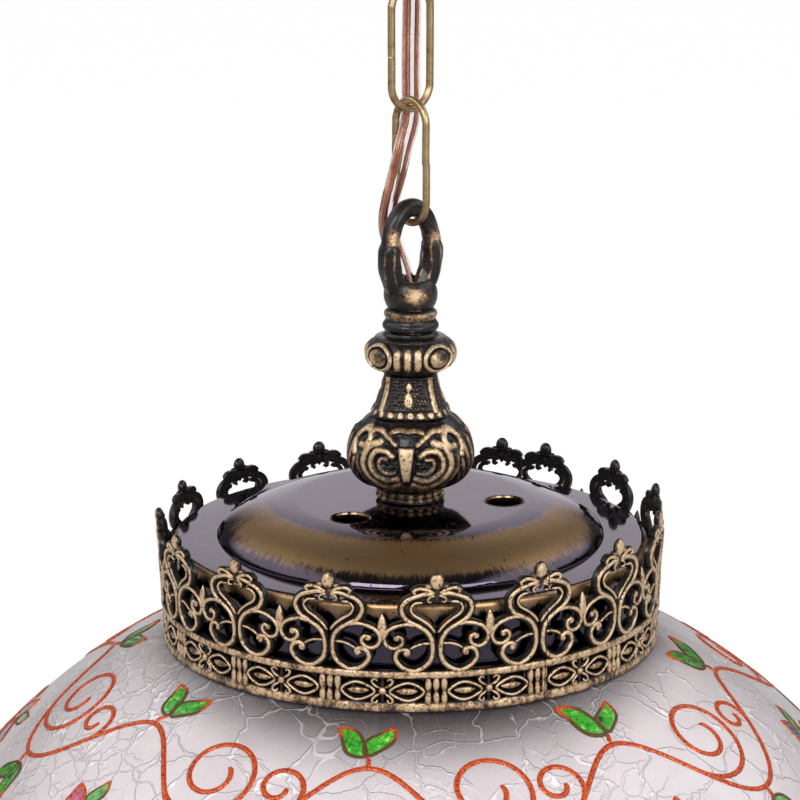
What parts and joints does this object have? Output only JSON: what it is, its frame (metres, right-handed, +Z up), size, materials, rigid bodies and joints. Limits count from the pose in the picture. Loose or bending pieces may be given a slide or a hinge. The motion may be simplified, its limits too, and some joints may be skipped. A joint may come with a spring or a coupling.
{
  "type": "pendant lamp",
  "caption": "Pendant lamp: a painted crackle glass globe under a domed cap with a pierced gallery, hung by a short chain from a ceiling canopy.",
  "frame": {"origin": "centre of the ceiling plate's top face, which lies against the ceiling", "axes": "+Z up into the ceiling, -Y towards the side the picture shows, +X to its right"},
  "size_m": [0.3, 0.3, 0.5015],
  "materials": {
    "antique": "cast, dark patina with rubbed golden highlights",
    "brass": "aged, satin",
    "lacquer": "dark bronze lacquer, glossy",
    "zinc": "zinc plated",
    "glass": "crackled frosted glass with painted relief",
    "rubber": "matte",
    "bakelite": "moulded, semi-gloss",
    "porcelain": "white glaze",
    "opal": "frosted inside",
    "cable": "clear sheath over two copper cores"
  },
  "bodies": {
    "ceiling_mount": {"ceiling_plate": "zinc", "plate_screw_front": "zinc", "plate_screw_back": "zinc", "canopy_nipple": "zinc", "canopy_cover": "antique", "cord_grommet": "rubber", "terminal_block": "porcelain", "canopy_hook": "brass", "cord_upper": "cable"},
    "link_upper": {"chain_link_upper": "brass", "cord_middle": "cable"},
    "link_lower": {"chain_link_lower": "brass", "cord_lower": "cable"},
    "lamp": {"hanger_loop": "antique", "neck_collar": "antique", "volute_capital": "antique", "tapered_waist": "antique", "foliate_knop": "antique", "beaded_foot": "antique", "threaded_tube": "zinc", "cap_washer": "zinc", "cap_nut": "zinc", "cap_dome": "lacquer", "seat_gasket": "rubber", "gallery_strip_front": "antique", "gallery_strip_right": "antique", "gallery_strip_back": "antique", "glass_globe": "glass", "clamp_bar": "zinc", "clamp_pad_left": "rubber", "clamp_pad_right": "rubber", "bar_washer": "zinc", "bar_nut": "zinc", "holder_cap": "bakelite", "holder_body": "bakelite", "holder_ring": "bakelite", "contact_insert": "porcelain", "screw_shell": "brass", "centre_contact": "brass", "cord_in_stem": "cable"},
    "bulb": {"bulb_contact": "brass", "bulb_insulator": "bakelite", "bulb_base": "zinc", "bulb_glass": "opal"}
  },
  "joints": [
    {"name": "upper_link_swing", "type": "hinge", "parent": "ceiling_mount", "child": "link_upper", "pos_m": [0, 0, -0.0537], "axis": [0.6252, -0.7804, 0], "range_deg": [-30, 30], "deforming": ["cord_upper"]},
    {"name": "lower_link_swing", "type": "hinge", "parent": "link_upper", "child": "link_lower", "pos_m": [0, 0, -0.0817], "axis": [0.7804, 0.6252, 0], "range_deg": [-30, 30], "deforming": ["cord_middle"]},
    {"name": "lamp_swing", "type": "hinge", "parent": "link_lower", "child": "lamp", "pos_m": [0, 0, -0.11], "axis": [0.6252, -0.7804, 0], "range_deg": [-30, 30], "deforming": ["cord_lower"]},
    {"name": "bulb_turn", "type": "hinge", "parent": "lamp", "child": "bulb", "pos_m": [0, 0, -0.27], "axis": [0, 0, 1], "continuous": true}
  ]
}
